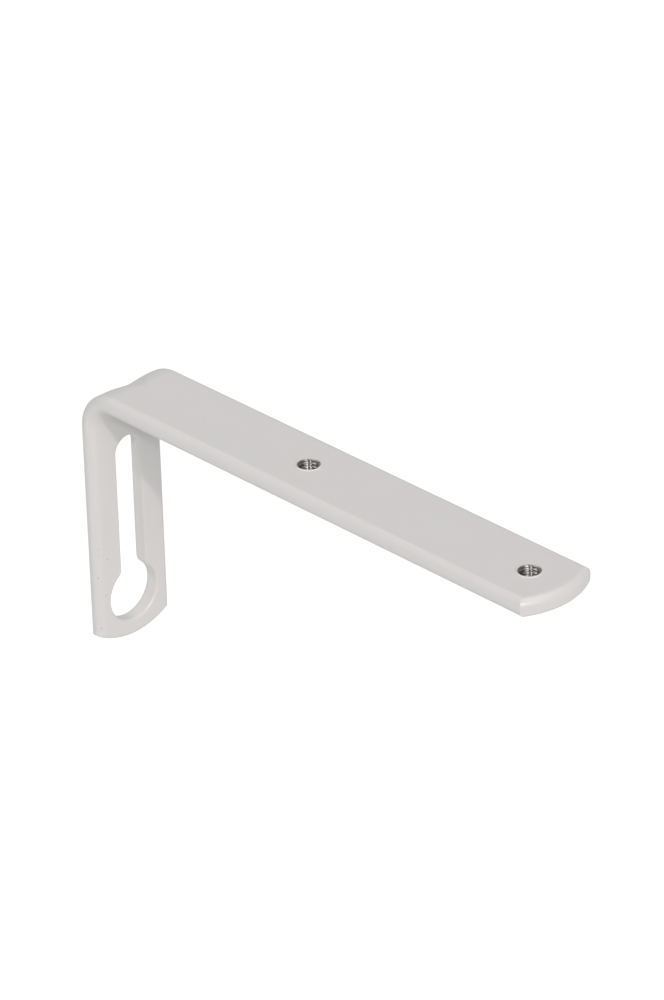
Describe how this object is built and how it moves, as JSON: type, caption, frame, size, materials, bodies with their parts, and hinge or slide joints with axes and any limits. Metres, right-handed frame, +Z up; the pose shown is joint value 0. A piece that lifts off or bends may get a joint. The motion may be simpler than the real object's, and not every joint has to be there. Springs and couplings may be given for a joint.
{
  "type": "wall angle bracket",
  "caption": "L-shaped bracket bent from one flat bar, painted white: keyhole slot in the short wall leg, threaded holes in the long arm",
  "frame": {"origin": "on the wall face and the bar's centre line, level with the centre of the keyhole slot's upper end, where the wall screw sits", "axes": "+X out from the wall along the arm, +Y across the bar, +Z up; the leg hangs down the wall"},
  "size_m": [0.1671, 0.025, 0.0792],
  "materials": {
    "powder_coat": "white powder coat, semi-gloss",
    "bare_thread": "bare cut thread"
  },
  "bodies": {
    "root": {"bracket": "powder_coat"}
  },
  "joints": []
}
